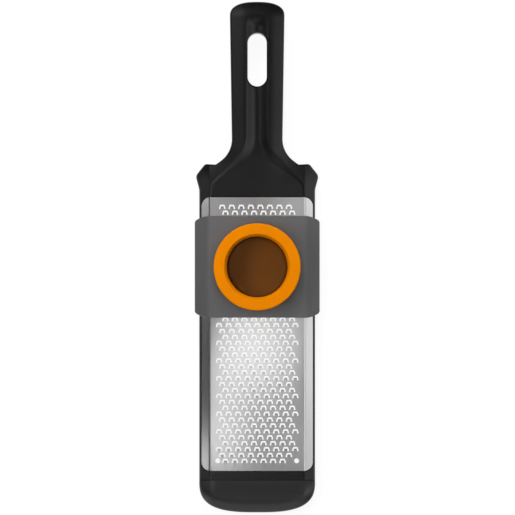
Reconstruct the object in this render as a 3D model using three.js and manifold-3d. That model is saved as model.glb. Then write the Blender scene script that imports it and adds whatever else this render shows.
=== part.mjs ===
// Hand grater with a sliding food guard.
// A black moulded frame carries an etched steel plate. A grey carriage straddles the frame's
// two rails and slides along the plate, and an orange pusher drops into the carriage's chute.
// Millimetres. +Z is up, out of the grating face, +Y runs along the plate to the handle's end.
// The origin lies on the resting plane, under the middle of the overall length and width.
import * as THREE from "three";
import { mergeGeometries, mergeVertices } from "three/addons/utils/BufferGeometryUtils.js";
import Module from "manifold-3d";

const wasm = await Module();
wasm.setup();

// Lengths along Y, from the nose to the handle's end
const noseLength = 20.5; // joint with the frame to the tip
const noseBand = 6.1; // bare deck between the plate and the nose joint
const plateLength = 172.3;
const shoulderLength = 4.3; // plate's upper end to the foot of the ears
const earFlank = 8.2; // foot of the ears to their widest point
const earHeight = 8.1; // widest point of the ears to their top edge
const flareLength = 15.5; // top of the ears to the neck
const gripLength = 78; // neck to the start of the rounded end
const gripEnd = 9; // rounded end of the handle

// Widths across X
const deckWidth = 60; // flat middle of the frame and of the plate
const plateWidth = 70.2; // over the plate's bent flanges
const railWidth = 73.1; // over the frame's two rails
const earWidth = 76.8;
const earTopWidth = 64; // over the outer corners of the ears' top edges
const earEdge = 2; // thickness of the ears' outer edges
const neckWidth = 31.9;
const gripWidth = 34.4;

// Frame section
const deckHeight = 15.5; // resting plane to the seat of the plate
const deckThickness = 2;
const flankAngle = THREE.MathUtils.degToRad(35); // slope of the flanks beside the deck
const railDepth = 3.3; // upright outer edge of a rail
const legInset = 3.5; // rail's outer edge to the leg under it
const legThickness = 2.6;
const windowMargin = 3.4; // deck left under each edge of the plate's flat

// Handle
const handleRise = 3.5; // handle's top edge above the deck, at the neck
const endRise = 1.5; // further rise of the top edge to the handle's end
const endLift = 4; // lift of the underside at the handle's end
const handleWall = 2.6;
const handleEdge = 1.4; // radius round the handle's top edge
const flareRadius = 17;
const flareTurn = THREE.MathUtils.degToRad(50);
const grooveWidth = 14.4;
const grooveDepth = 2;
const grooveEndGap = 8; // groove's end to the handle's end
const funnelFoot = 4.9; // foot of the ears to the funnel's lower corners
const funnelNeck = 6.9; // funnel's upper corners below the neck
const slotWidth = 12;
const slotLength = 33.6;
const slotEndGap = 19.6; // hang slot to the handle's end
const slotWall = 2.2;
const backThickness = 2.5;
const backLedge = 1.3; // ledge that the back cover seats on

// Grating plate
const plateThickness = 0.5;
const plateCorner = 5.5;
const tuckDepth = 2.6; // upright hem of each flange, let into the rail
const toothPitch = 6;
const rowPitch = 3.723;
const rowInset = 5.9; // plate's upper end to the first row of teeth
const lastRowInset = 5.5; // least distance of a row from the plate's lower end
const fieldWidth = 48; // middle of the first tooth to middle of the last, in the widest row
const toothFootWidth = 4.1;
const toothCrownWidth = 2.8;
const toothHeight = 2.7;
const slitWidth = 1;
const pegHoleDiameter = 3.1; // two locating holes beside the last row
const pegHoleSpacing = 49.7;

// Nose
const noseDrop = 4.2; // fall of its top from the joint to the tip
const noseEdge = 5; // radius round its top edge
const noseWall = 2.6;
const noseTab = 8.5; // two tabs that reach under the frame's deck
const noseTabWidth = 6;
const footHeight = 4;
const footLedge = 1.5;
const outlinePower = 2.95; // superellipse of the nose's outline
const gripEndPower = 2.5; // superellipse of the handle's end

// Carriage
const carriageLength = 64;
const carriageWall = 2.4; // each side wall
const carriageFlat = 62.6; // flat middle of its top
const carriageOffset = 11.8; // carriage's upper edge below the plate's upper end, at rest
const carriageDeck = 2.3;
const carriageRide = 1.2; // underside of its deck above the plate
const carriageBow = 2.6; // how far its flanks draw in at each end
const carriageCorner = 1.4;
const sideGap = 0.45; // side wall to the rail
const hookThickness = 2.5;
const hookReach = 3.1; // past the rail's edge, under the rail
const chuteDiameter = 46.4;
const chuteWall = 2;
const chuteHeight = 27; // above the carriage's top
const keyWidth = 3;
const keyHeight = 1.1;

// Pusher
const pusherDiameter = 54.5;
const rimThickness = 2.6;
const rimEdge = 0.8; // chamfer on the rim's edges
const skirtWall = 1.6;
const skirtGap = 0.7; // skirt's lower edge above the carriage at rest
const wellDiameter = 41; // inside of the collar's rim, at its top
const wellNeckDiameter = 38.6; // inside of the rim at its underside
const wellFloorDiameter = 37.4;
const plungerWall = 1.6;
const plungerFloor = 2.4;
const pistonHeight = 4; // full-width foot of the plunger that the chute guides
const gripStudDiameter = 2.4;
const gripStudHeight = 1;
const gripStudRings = [0, 8, 16]; // radii of the rings of studs under the plunger
const studClearance = 1.1; // studs above the plate at rest

// Clearances
const seatGap = 0.3; // between two fixed pieces
const runGap = 0.4; // between two pieces that slide on each other
const past = 1; // how far a cutter runs past the face that it opens

// Facets
const roundSides = 48;
const arcSteps = 8;

// Stations along Y
const overallLength = noseLength + noseBand + plateLength + shoulderLength + earFlank + earHeight +
  flareLength + gripLength + gripEnd;
const noseTipY = -overallLength / 2;
const noseJointY = noseTipY + noseLength;
const plateLowY = noseJointY + noseBand;
const plateHighY = plateLowY + plateLength;
const earFootY = plateHighY + shoulderLength;
const earWideY = earFootY + earFlank;
const earTopY = earWideY + earHeight;
const neckY = earTopY + flareLength;
const gripEndY = neckY + gripLength;
const handleEndY = gripEndY + gripEnd;
const slotHighY = handleEndY - slotEndGap;
const slotLowY = slotHighY - slotLength;
const carriageY = plateHighY - carriageOffset - carriageLength / 2;

// Half-widths and heights that several pieces share
const deckHalf = deckWidth / 2;
const railHalf = railWidth / 2;
const flankSlope = Math.tan(flankAngle);
const plateTop = deckHeight + plateThickness;
// The frame's flank starts inside the plate's bend, which leaves the seat gap under the flange.
const flankStart = deckHalf - seatGap / Math.sin(flankAngle);
const frameFlankZ = (x) => deckHeight - (x - flankStart) * flankSlope;
const plateFlankZ = (x) => plateTop - (x - deckHalf) * flankSlope;
const railEdgeZ = frameFlankZ(railHalf);
const railUnderZ = railEdgeZ - railDepth;
const legOuter = railHalf - legInset;
const legInner = legOuter - legThickness;
const deckUnder = deckHeight - deckThickness;
const windowHalf = deckHalf - windowMargin;
const handleTopZ = deckHeight + handleRise;
const rampStartY = earFootY + earFlank / 2;
const troughEndY = earWideY + earHeight / 2;
const cavityLowY = earTopY + flareLength / 4;

// Solids

function solid(geometry) {
  const bare = geometry.clone();
  bare.deleteAttribute("normal");
  bare.deleteAttribute("uv");
  const merged = mergeVertices(bare);
  const mesh = new wasm.Mesh({
    numProp: 3,
    vertProperties: merged.attributes.position.array,
    triVerts: new Uint32Array(merged.index.array),
  });
  return new wasm.Manifold(mesh);
}

function geometryOf(manifold) {
  const mesh = manifold.getMesh();
  return new THREE.BufferGeometry()
    .setAttribute("position", new THREE.BufferAttribute(mesh.vertProperties, 3))
    .setIndex(new THREE.BufferAttribute(mesh.triVerts, 1));
}

const alongX = new THREE.Vector3(1, 0, 0);
const alongY = new THREE.Vector3(0, 1, 0);
const alongZ = new THREE.Vector3(0, 0, 1);
const sectionAxes = new THREE.Matrix4().makeBasis(alongX, alongZ, alongY.clone().negate());
const sideAxes = new THREE.Matrix4().makeBasis(alongY, alongZ, alongX);

function extrusion(shape, depth) {
  return new THREE.ExtrudeGeometry(shape, { depth, bevelEnabled: false, curveSegments: arcSteps });
}

// A plan outline in X and Y, from one height to another.
function planSolid(shape, fromZ, toZ) {
  return solid(extrusion(shape, toZ - fromZ).translate(0, 0, fromZ));
}

// A section in X and Z, run along Y.
function sectionSolid(shape, fromY, toY) {
  return solid(extrusion(shape, toY - fromY).applyMatrix4(sectionAxes).translate(0, toY, 0));
}

// A side view in Y and Z, run across X.
function sideSolid(shape, halfWidth) {
  return solid(extrusion(shape, 2 * halfWidth).applyMatrix4(sideAxes).translate(-halfWidth, 0, 0));
}

// A plan outline under a top that slopes along Y and is rounded over at its edge. The top has its
// height at the pivot, and the underside lies below the resting plane, to be cut off.
function slopedSolid(shape, topZ, edge, slope, pivotY) {
  const geometry = new THREE.ExtrudeGeometry(shape, {
    depth: topZ,
    bevelThickness: edge,
    bevelSize: edge,
    bevelOffset: -edge,
    bevelSegments: 3,
    curveSegments: arcSteps,
  });
  geometry.translate(0, -pivotY, -edge);
  geometry.applyMatrix4(new THREE.Matrix4().makeShear(0, 0, 0, slope, 0, 0));
  return solid(geometry.translate(0, pivotY, 0));
}

function box(fromX, toX, fromY, toY, fromZ, toZ) {
  const size = [toX - fromX, toY - fromY, toZ - fromZ];
  const middle = [(fromX + toX) / 2, (fromY + toY) / 2, (fromZ + toZ) / 2];
  return solid(new THREE.BoxGeometry(...size).translate(...middle));
}

function turned(points, y) {
  const profile = points.map(([radius, z]) => new THREE.Vector2(radius, z));
  const geometry = new THREE.LatheGeometry([...profile, profile[0]], roundSides);
  return solid(geometry.rotateX(Math.PI / 2).translate(0, y, 0));
}

function shapeOf(points) {
  return new THREE.Shape(points.map(([x, y]) => new THREE.Vector2(x, y)));
}

// A closed outline from the points of its right half, which run from low to high.
function mirrored(points) {
  const left = points.filter(([x]) => x > 0).map(([x, y]) => [-x, y]);
  return shapeOf([...points, ...left.reverse()]);
}

// One quarter of a superellipse, from its widest point to its end.
function superellipse(half, length, power, startY, steps) {
  const quarter = [];
  for (let i = 1; i <= steps; i++) {
    const turn = (i / steps) * (Math.PI / 2);
    const x = i < steps ? half * Math.cos(turn) ** (2 / power) : 0;
    quarter.push([x, startY + length * Math.sin(turn) ** (2 / power)]);
  }
  return quarter;
}

function capsuleShape(width, lowY, highY, grow) {
  const radius = width / 2;
  const shape = new THREE.Shape();
  shape.absarc(0, highY - radius, radius + grow, 0, Math.PI);
  shape.absarc(0, lowY + radius, radius + grow, Math.PI, 2 * Math.PI);
  return shape;
}

// Outlines of the frame

// Right half of the handle's outline above the ears, drawn in by a margin.
function handleHalf(margin) {
  const neckHalf = neckWidth / 2 - margin;
  const flare = [];
  for (let i = arcSteps; i >= 0; i--) {
    const turn = (i / arcSteps) * flareTurn;
    const reach = flareRadius + margin;
    flare.push([neckHalf + reach * (1 - Math.cos(turn)), neckY - reach * Math.sin(turn)]);
  }
  const gripHalf = gripWidth / 2 - margin;
  const end = superellipse(gripHalf, gripEnd - margin, gripEndPower, gripEndY, arcSteps);
  return [...flare, [gripHalf, gripEndY], ...end];
}

const flareFoot = handleHalf(0)[0];
const notchX = flareFoot[0] + (flareFoot[1] - earTopY) / Math.tan(Math.PI / 2 - flareTurn);

function shoulderPlan() {
  const earHalf = earWidth / 2;
  return mirrored([
    [railHalf, plateHighY],
    [railHalf, earFootY],
    [earHalf, earWideY - carriageCorner],
    [earHalf, earWideY],
    [earTopWidth / 2, earTopY],
    [notchX, earTopY],
    ...handleHalf(0),
  ]);
}

// The nose's outline, drawn in by a margin and cut straight across at its upper end.
function nosePlan(margin, highY) {
  const half = railHalf - margin;
  const quarter = superellipse(half, noseLength - margin, outlinePower, 0, 2 * arcSteps);
  const right = quarter.map(([x, y]) => [x, noseJointY - y]).reverse();
  return mirrored([...right.filter(([, y]) => y < highY), [half, highY]]);
}

// Frame section: deck, flanks, rails and legs. Closed, it is the solid under the deck as well.
function frameSection(open) {
  const outside = [
    [legOuter, 0],
    [legOuter, railUnderZ],
    [railHalf, railUnderZ],
    [railHalf, railEdgeZ],
    [flankStart, deckHeight],
  ];
  return mirrored(open ? [[legInner, deckUnder], [legInner, 0], ...outside] : outside);
}

// The frame's roof, carried out over the ears.
function roofSection() {
  const earHalf = earWidth / 2;
  return mirrored([
    [earHalf, railUnderZ],
    [earHalf, railUnderZ + earEdge],
    [railHalf, railEdgeZ],
    [flankStart, deckHeight],
  ]);
}

// Underside of the handle at a station.
function underZ(y) {
  return (endLift * Math.max(y - cavityLowY, 0)) / (handleEndY - cavityLowY);
}

function handleSide() {
  const top = 2 * handleTopZ;
  return shapeOf([
    [rampStartY, 0],
    [cavityLowY, 0],
    [handleEndY, endLift],
    [handleEndY, top],
    [neckY, top],
    [neckY - flareRadius / 4, handleTopZ],
    [earTopY, deckHeight + handleRise / 2],
    [rampStartY, deckHeight],
  ]);
}

// The handle's raised part. Its top edge is rounded over, and its top slopes up to the end.
function handleSolid() {
  const plan = mirrored([[flankStart, rampStartY], [notchX, earTopY], ...handleHalf(0)]);
  const slope = endRise / (handleEndY - neckY);
  const raised = slopedSolid(plan, handleTopZ, handleEdge, slope, neckY);
  return raised.intersect(sideSolid(handleSide(), railWidth));
}

// Funnel that opens the handle's groove out to the full width of the deck.
function funnelCutter() {
  const grooveHalf = grooveWidth / 2;
  const footHalf = deckHalf - seatGap;
  const plan = mirrored([
    [footHalf, rampStartY - past],
    [footHalf, earFootY + funnelFoot],
    [grooveHalf, neckY - funnelNeck],
    [grooveHalf / 2, neckY],
  ]);
  return planSolid(plan, deckHeight, handleTopZ + endRise + past);
}

function grooveCutter() {
  const length = handleEndY - grooveEndGap - earTopY - grooveWidth;
  const capsule = new THREE.CapsuleGeometry(grooveWidth / 2, length, 4, 2 * arcSteps);
  const tilt = Math.atan(endRise / gripLength);
  capsule.scale(1, 1, grooveDepth / (grooveWidth / 2)).rotateX(tilt);
  const middleY = earTopY + grooveWidth / 2 + length / 2;
  return solid(capsule.translate(0, middleY, handleTopZ + endRise / 2));
}

// Hollow inside the handle, from its underside up, round the wall of the hang slot.
function handleCavity() {
  const foot = [[neckWidth / 2 - handleWall, cavityLowY]];
  const above = handleHalf(handleWall).filter(([, y]) => y > neckY - past);
  const hollow = planSolid(mirrored([...foot, ...above]), -past, deckUnder);
  const wall = capsuleShape(slotWidth, slotLowY, slotHighY, slotWall);
  return hollow.subtract(planSolid(wall, -past, deckHeight));
}

// Rebate and cover share this outline, apart from the seat gap.
function backOutline(margin) {
  const reach = handleWall - backLedge + margin;
  const foot = [[neckWidth / 2 - reach, cavityLowY - backLedge + margin]];
  return mirrored([...foot, ...handleHalf(reach).filter(([, y]) => y > neckY - past)]);
}

function backSlab(lift, grow) {
  const ends = [cavityLowY - handleWall, handleEndY];
  const low = ends.map((y) => [y, underZ(y) - grow]);
  const high = ends.map((y) => [y, underZ(y) + backThickness + lift]).reverse();
  return sideSolid(shapeOf([...low, ...high]), gripWidth);
}

function handleBack() {
  const cover = planSolid(backOutline(seatGap), -past, deckUnder).intersect(backSlab(0, 0));
  return cover.subtract(
    planSolid(capsuleShape(slotWidth, slotLowY, slotHighY, slotWall + seatGap), -past, deckUnder),
  );
}

// Slots in the rails that take the plate's hems.
function tuckSlots() {
  const outer = plateWidth / 2 + seatGap;
  const inner = plateWidth / 2 - plateThickness - seatGap;
  const floor = plateFlankZ(plateWidth / 2) - tuckDepth - seatGap;
  const endInset = plateCorner / 2;
  const slot = box(inner, outer, plateLowY + endInset, plateHighY - endInset, floor, deckHeight);
  return slot.add(slot.mirror([1, 0, 0]));
}

function frameHandle() {
  const rails = sectionSolid(frameSection(true), noseJointY + seatGap, troughEndY);
  const shoulder = planSolid(shoulderPlan(), 0, deckHeight)
    .intersect(sectionSolid(roofSection(), plateHighY, cavityLowY));
  const block = sectionSolid(frameSection(false), troughEndY - handleWall, earTopY - seatGap);
  const windowLow = plateLowY + windowMargin;
  const windowHigh = plateHighY - windowMargin;
  const frame = rails.add(block).add(handleSolid()).add(shoulder);
  const trough = box(-legInner, legInner, noseJointY, troughEndY, -past, deckUnder);
  return frame
    .subtract(trough)
    .subtract(box(-windowHalf, windowHalf, windowLow, windowHigh, 0, deckHeight + past))
    .subtract(tuckSlots())
    .subtract(funnelCutter())
    .subtract(grooveCutter())
    .subtract(handleCavity())
    .subtract(planSolid(backOutline(0), -past, deckUnder).intersect(backSlab(seatGap, past)))
    .subtract(planSolid(capsuleShape(slotWidth, slotLowY, slotHighY, 0), -past, 2 * handleTopZ));
}

// Grating plate

// Bent sheet: flat middle, sloping flanges and upright hems.
function plateSection() {
  const half = plateWidth / 2;
  const hem = half - plateThickness;
  const bendIn = deckHalf - plateThickness * Math.tan(flankAngle / 2);
  const hemLow = plateFlankZ(half) - tuckDepth;
  const hemTop = deckHeight - (hem - bendIn) * flankSlope;
  return mirrored([
    [bendIn, deckHeight],
    [hem, hemTop],
    [hem, hemLow],
    [half, hemLow],
    [half, plateFlankZ(half)],
    [deckHalf, plateTop],
  ]);
}

function platePlan() {
  const half = plateWidth / 2;
  const low = [];
  for (let i = 0; i <= arcSteps; i++) {
    const turn = ((i / arcSteps) - 1) * (Math.PI / 2);
    const x = half - plateCorner * (1 - Math.cos(turn));
    low.push([x, plateLowY + plateCorner * (1 + Math.sin(turn))]);
  }
  const high = low.map(([x, y]) => [x, plateLowY + plateHighY - y]).reverse();
  return mirrored([...low, ...high]);
}

const rowCount = 1 + Math.floor((plateLength - rowInset - lastRowInset) / rowPitch);
const lastRowY = plateHighY - rowInset - (rowCount - 1) * rowPitch;

// Middles of the teeth. Each row stands a third of the pitch further across than the one above.
function toothPlaces() {
  const places = [];
  const rowShifts = 3;
  for (let row = 0; row < rowCount; row++) {
    const y = plateHighY - rowInset - row * rowPitch;
    const shift = (((row + 1) % rowShifts) * toothPitch) / rowShifts;
    const columns = Math.floor((fieldWidth - shift + slitWidth) / toothPitch);
    for (let column = 0; column <= columns; column++) {
      const x = shift + column * toothPitch - fieldWidth / 2;
      const besideHole = pegHoleSpacing / 2 - Math.abs(x) < toothFootWidth;
      if (row < rowCount - 1 || !besideHole) places.push([x, y]);
    }
  }
  return places;
}

// The arched slit round one tooth's tongue, which points at the handle.
function toothSlit(x, y) {
  const foot = toothFootWidth / 2;
  const crown = toothCrownWidth / 2;
  const high = toothHeight / 2;
  const tongue = foot - slitWidth;
  return shapeOf([
    [x - foot, y - high],
    [x - crown, y + high],
    [x + crown, y + high],
    [x + foot, y - high],
    [x + tongue, y - high],
    [x, y + high - slitWidth],
    [x - tongue, y - high],
  ]);
}

function pegHole(x) {
  const shape = new THREE.Shape();
  shape.absarc(x, lastRowY, pegHoleDiameter / 2, 0, 2 * Math.PI);
  return shape;
}

function gratingPlate() {
  const slits = toothPlaces().map(([x, y]) => toothSlit(x, y));
  const shapes = [...slits, pegHole(-pegHoleSpacing / 2), pegHole(pegHoleSpacing / 2)];
  const depth = plateThickness + 2 * past;
  const cutters = mergeGeometries(shapes.map((shape) => extrusion(shape, depth)));
  return sectionSolid(plateSection(), plateLowY, plateHighY)
    .intersect(planSolid(platePlan(), 0, deckHeight + past))
    .subtract(solid(cutters.translate(0, 0, deckHeight - past)));
}

// Nose cap and its foot

function noseCap() {
  const plan = nosePlan(0, noseJointY + 2 * noseEdge);
  const outside = slopedSolid(plan, deckHeight, noseEdge, noseDrop / noseLength, noseJointY)
    .intersect(sectionSolid(frameSection(false), noseTipY, noseJointY));
  const inset = railHalf - legInner;
  const top = deckUnder - noseDrop - deckThickness;
  const hollow = planSolid(nosePlan(inset, noseJointY + past), -past, top);
  const pocket = planSolid(nosePlan(inset - footLedge, noseJointY + past), -past, footHeight + seatGap);
  const tabOuter = legInner - seatGap;
  const tab = box(tabOuter - noseTabWidth, tabOuter, noseJointY - noseWall, noseJointY + noseTab,
    footHeight + seatGap, deckUnder - seatGap);
  return outside
    .subtract(hollow)
    .subtract(pocket)
    .add(tab)
    .add(tab.mirror([1, 0, 0]));
}

function noseFoot() {
  const inset = railHalf - legInner - footLedge + seatGap;
  return planSolid(nosePlan(inset, noseJointY - seatGap), 0, footHeight);
}

// Carriage

const carriageInner = plateTop + carriageRide;
const carriageTop = carriageInner + carriageDeck;
const carriageHalf = railHalf + sideGap + carriageWall;
const hookTop = railUnderZ - runGap;
const hookLow = hookTop - hookThickness;
const chuteTop = carriageTop + chuteHeight;

function carriageSection() {
  const inside = railHalf + sideGap;
  const flat = carriageFlat / 2;
  const hook = railHalf - hookReach;
  const flankGap = carriageRide / 2;
  return mirrored([
    [deckHalf + flankGap, carriageInner],
    [inside, carriageInner - (inside - deckHalf - flankGap) * flankSlope],
    [inside, hookTop],
    [hook, hookTop],
    [hook, hookLow],
    [carriageHalf, hookLow],
    [carriageHalf, carriageTop - (carriageHalf - flat) * flankSlope],
    [flat, carriageTop],
  ]);
}

// The flanks draw in at both ends, in a bow, and end in a small round corner.
function carriagePlan() {
  const flat = carriageFlat / 2;
  const half = carriageLength / 2;
  const shape = new THREE.Path();
  shape.moveTo(carriageHalf, 0);
  const drawnIn = half - carriageBow;
  shape.lineTo(carriageHalf, drawnIn - carriageCorner);
  shape.quadraticCurveTo(carriageHalf, drawnIn, carriageHalf - carriageCorner, drawnIn);
  shape.quadraticCurveTo((carriageHalf + flat) / 2, half, flat, half);
  const high = shape.getPoints(arcSteps / 2).map(({ x, y }) => [x, y]);
  const low = high.map(([x, y]) => [x, -y]).reverse();
  return mirrored([...low, ...high.slice(1)].map(([x, y]) => [x, carriageY + y]));
}

function slideCarriage() {
  const bore = chuteDiameter / 2;
  const outer = bore + chuteWall;
  const half = carriageLength / 2;
  const plan = planSolid(carriagePlan(), 0, carriageTop + past);
  const shell = sectionSolid(carriageSection(), carriageY - half, carriageY + half);
  const tubeHalf = [[0, carriageInner], [outer, carriageInner], [outer, chuteTop], [0, chuteTop]];
  const tube = turned(tubeHalf, carriageY);
  const cutter = turned([[0, 0], [bore, 0], [bore, chuteTop + past], [0, chuteTop + past]], carriageY);
  const keyHalf = keyWidth / 2;
  const key = box(bore - keyHeight, bore + chuteWall / 2, carriageY - keyHalf, carriageY + keyHalf,
    carriageInner, chuteTop);
  const keys = key.add(key.mirror([1, 0, 0]));
  return shell.intersect(plan).add(tube).subtract(cutter).add(keys);
}

// Pusher: a collar that caps the chute, and a plunger that runs in it

const rimUnder = chuteTop + seatGap;
const rimTop = rimUnder + rimThickness;
const studLow = plateTop + studClearance;
const plungerUnder = studLow + gripStudHeight;
const wellFloor = plungerUnder + plungerFloor;
const plungerOuter = chuteDiameter / 2 - runGap;

function pusherCollar() {
  const outer = pusherDiameter / 2;
  const inner = wellDiameter / 2;
  const skirtLow = carriageTop + skirtGap;
  return turned([
    [wellNeckDiameter / 2, rimUnder],
    [outer - skirtWall, rimUnder],
    [outer - skirtWall, skirtLow],
    [outer, skirtLow],
    [outer, rimTop - rimEdge],
    [outer - rimEdge, rimTop],
    [inner, rimTop],
  ], carriageY);
}

function pusherPlunger() {
  const neck = wellNeckDiameter / 2;
  const floor = wellFloorDiameter / 2;
  const pistonTop = plungerUnder + pistonHeight;
  const cup = turned([
    [0, plungerUnder],
    [plungerOuter, plungerUnder],
    [plungerOuter, pistonTop],
    [floor + plungerWall, pistonTop],
    [neck + plungerWall, rimUnder - seatGap],
    [neck, rimUnder - seatGap],
    [floor, wellFloor],
    [0, wellFloor],
  ], carriageY);
  const reach = plungerOuter - keyHeight - runGap;
  const keyHalf = keyWidth / 2 + runGap;
  const notch = box(reach, plungerOuter + past, carriageY - keyHalf, carriageY + keyHalf,
    plungerUnder - past, pistonTop + past);
  return gripStuds().add(cup).subtract(notch).subtract(notch.mirror([1, 0, 0]));
}

function gripStuds() {
  const perRing = 6;
  const studs = gripStudRings.flatMap((radius) => {
    const count = radius ? Math.round((perRing * radius) / gripStudRings[1]) : 1;
    return Array.from({ length: count }, (_, i) => {
      const turn = (2 * Math.PI * (i + 0.5)) / count;
      const stud = new THREE.CylinderGeometry(gripStudDiameter / 2, gripStudDiameter / 4,
        gripStudHeight + plungerFloor / 2, arcSteps);
      const middleZ = studLow + (gripStudHeight + plungerFloor / 2) / 2;
      return stud.rotateX(Math.PI / 2)
        .translate(radius * Math.cos(turn), carriageY + radius * Math.sin(turn), middleZ);
    });
  });
  return studs.map(solid).reduce((all, stud) => all.add(stud));
}

// Assembly

const blackPlastic = { color: 0x232324, roughness: 0.42, metalness: 0 };
const blackRubber = { color: 0x1c1c1c, roughness: 0.85, metalness: 0 };
const steel = { color: 0xc9cacb, roughness: 0.3, metalness: 1 };
const greyPlastic = { color: 0x5b5c5e, roughness: 0.5, metalness: 0 };
const orangePlastic = { color: 0xf08a00, roughness: 0.45, metalness: 0 };

function piece(name, manifold, finish) {
  const mesh = new THREE.Mesh(geometryOf(manifold), new THREE.MeshStandardMaterial(finish));
  mesh.name = name;
  return mesh;
}

const frame = new THREE.Group().add(
  piece("frame_handle", frameHandle(), blackPlastic),
  piece("handle_back", handleBack(), blackPlastic),
  piece("grating_plate", gratingPlate(), steel),
  piece("nose_cap", noseCap(), blackPlastic),
  piece("nose_foot", noseFoot(), blackRubber),
);
const carriage = new THREE.Group().add(piece("slide_carriage", slideCarriage(), greyPlastic));
const pusher = new THREE.Group().add(
  piece("pusher_collar", pusherCollar(), orangePlastic),
  piece("pusher_plunger", pusherPlunger(), orangePlastic),
);
carriage.add(pusher);
const grater = new THREE.Group().add(frame, carriage);

export default grater;
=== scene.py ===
"""Looks of the hand grater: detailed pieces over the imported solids, materials, light and camera.

Sizes are in millimetres in the row frame until a mesh is made, which is in metres.
"""

import math

import bpy
import numpy as np
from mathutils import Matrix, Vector
from mathutils.geometry import delaunay_2d_cdt


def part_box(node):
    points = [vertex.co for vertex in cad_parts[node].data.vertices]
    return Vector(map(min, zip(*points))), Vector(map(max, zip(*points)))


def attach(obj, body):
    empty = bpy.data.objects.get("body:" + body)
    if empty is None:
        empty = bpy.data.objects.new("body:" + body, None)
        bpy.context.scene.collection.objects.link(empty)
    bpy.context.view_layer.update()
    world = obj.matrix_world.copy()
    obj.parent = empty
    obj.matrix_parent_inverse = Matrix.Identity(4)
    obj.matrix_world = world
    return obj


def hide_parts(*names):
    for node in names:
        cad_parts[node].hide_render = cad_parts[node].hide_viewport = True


MM = 0.001

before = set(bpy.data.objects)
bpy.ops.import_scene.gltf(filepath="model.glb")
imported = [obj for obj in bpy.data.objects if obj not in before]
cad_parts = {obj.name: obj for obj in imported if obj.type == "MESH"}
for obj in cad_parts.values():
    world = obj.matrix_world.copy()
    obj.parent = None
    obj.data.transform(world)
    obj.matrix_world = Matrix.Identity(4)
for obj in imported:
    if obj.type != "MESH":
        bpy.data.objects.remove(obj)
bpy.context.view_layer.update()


def node_box(node):
    """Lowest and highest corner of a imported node, in millimetres."""
    low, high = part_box(node)
    return np.array(low) / MM, np.array(high) / MM


# Stations along Y
PLATE_LOW, PLATE_HIGH = (corner[1] for corner in node_box("grating_plate"))
PLATE_MIDDLE = (PLATE_LOW + PLATE_HIGH) / 2
PLATE_HALF_LENGTH = (PLATE_HIGH - PLATE_LOW) / 2
NOSE_TIP = node_box("nose_cap")[0][1]
NOSE_JOINT = -140.5
JOINT_GAP = 0.04
TROUGH_END = 54.5
NECK = 74.0
GRIP_END = 152.0
HANDLE_END = node_box("frame_handle")[1][1]
COVER_LOW = node_box("handle_back")[0][1]
PAST_NOSE = -180  # beyond both ends, for outlines that run through
PAST_HANDLE = 200

# Frame section
DECK = 15.5
PLATE_TOP = 16.0
RIDGE = 16.3
DECK_HALF = 30.0
FUNNEL_HALF = DECK_HALF - 0.2
PLATE_HALF = 35.1
PLATE_CORNER = 5.5
RAIL_HALF = 36.55
RAIL_UNDER = 7.26
FLANK = math.radians(35)
FLANK_SLOPE = math.tan(FLANK)
FLANK_BEND = 0.15  # softens the ridge above the flank
STEP_WIDTH = 1.6  # of the wall from the ridge down to the deck
LEG_OUTER = 33.05
LEG_INNER = 30.45
DECK_UNDER = 13.5
WINDOW_HALF = 26.6
WINDOW_MARGIN = 3.4
WINDOW_CORNER = 2.0
SEAT_ROOM = 0.2  # around the plate
SEAT_RISE = 0.3  # above the deck
SEAT_INSET = 1.2  # from the deck's edge to where the seat starts to fall
SEAT_BEND = 0.6

# Rounds on the frame's and the nose's edges
TOP_EDGE = 1.1
FRAME_UNDER_EDGE = 1.4
NOSE_UNDER_EDGE = 0.8
LIP_EDGE = 0.4
LIP_FILLET = 0.8
TROUGH_EDGE = 1.0
SEAT_EDGE = 0.45
SLOT_EDGE = 1.0

# The distance to a sloped face is about this share of the height above it
SLANT = 0.85

# Handle
HANDLE_TOP = 19.0
END_RISE = 1.5  # of the crown, from the neck to the handle's end
END_LIFT = 4.0  # of the underside, at the handle's end
END_ROLL = 151.0  # where the crown starts to roll down
END_CURVE = 0.035  # of that roll, in 1/mm
END_POWER = 2.5
GRIP_HALF = 17.2
CROWN_SLOPE = 0.2
CROWN_BEND = 3.0
CREST = 9.0  # where the crown starts to fall to its side
GROOVE_DEPTH = 1.8
GROOVE_HALF = 7.0
WALL_POWER = 1.3  # above 1 eases the upper edge of a hollow's wall
SLOT_HALF = 6.0
SLOT_LOW = 107.8
SLOT_HIGH = 141.4
SLOT_WALL = 2.2
COVER_INSET = 1.3
COVER_DEPTH = 2.5
COVER_EDGE = 0.4
SEAM = 0.15

# Stretches along Y where one form turns into the next
FLANK_TO_CROWN = (44, 70)
DECK_TO_GROOVE = (46, 66)
FUNNEL_WALL_WIDENS = (44, 64)
GROOVE_FADES = (145.5, 153.5)

# Nose
NOSE_SLOPE = 0.205
NOSE_FLANK = 0.1
NOSE_BEND = 3.0
NOSE_POWER = 2.95
NOSE_STEP = 4.5  # width of the sunk face's side walls
NOSE_DISH = 14.0  # length in which the sunk face comes up to the flanks
NOSE_BACK = -100  # behind the joint, where the outline may end
NOSE_CHAMFER = 6.2
CHAMFER_SLOPE = 0.42
CHAMFER_BEND = 1.5
CHAMFER_GROWS = 16.0  # length in which the chamfer comes to its full depth
FOOT_INSET = 4.6
FOOT_HEIGHT = 4.0
FOOT_BACK = 0.3  # from the joint
FOOT_EDGE = 0.4
TREAD_DEPTH = 0.35
TREAD_PITCH = 3.6
TREAD_STEEPNESS = 1.6
TREAD_SHIFT = 0.6

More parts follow.
